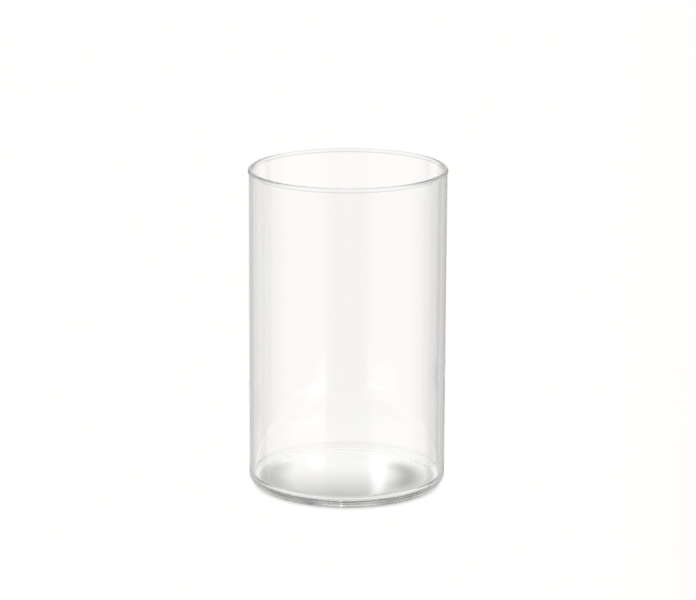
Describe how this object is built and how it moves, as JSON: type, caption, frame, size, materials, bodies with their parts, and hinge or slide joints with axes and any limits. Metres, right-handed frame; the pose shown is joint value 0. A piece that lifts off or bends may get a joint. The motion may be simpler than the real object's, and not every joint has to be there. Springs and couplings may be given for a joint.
{
  "type": "cylinder vase",
  "caption": "Straight-sided clear glass cylinder vase with a fire-polished lip, a round heel and a slightly hollow foot, for holding cut flowers in water.",
  "frame": {"origin": "middle of the foot, on the plane the vase stands on", "axes": "+Z along the vase's axis, up out of its mouth; +X and +Y are any two level directions, as the vase is a body of revolution"},
  "size_m": [0.1226, 0.1226, 0.2],
  "materials": {
    "clear_glass": "fire-polished clear soda-lime glass, glossy inside and out, fine wear on the standing ring"
  },
  "bodies": {
    "root": {"vase": "clear_glass"}
  },
  "joints": []
}
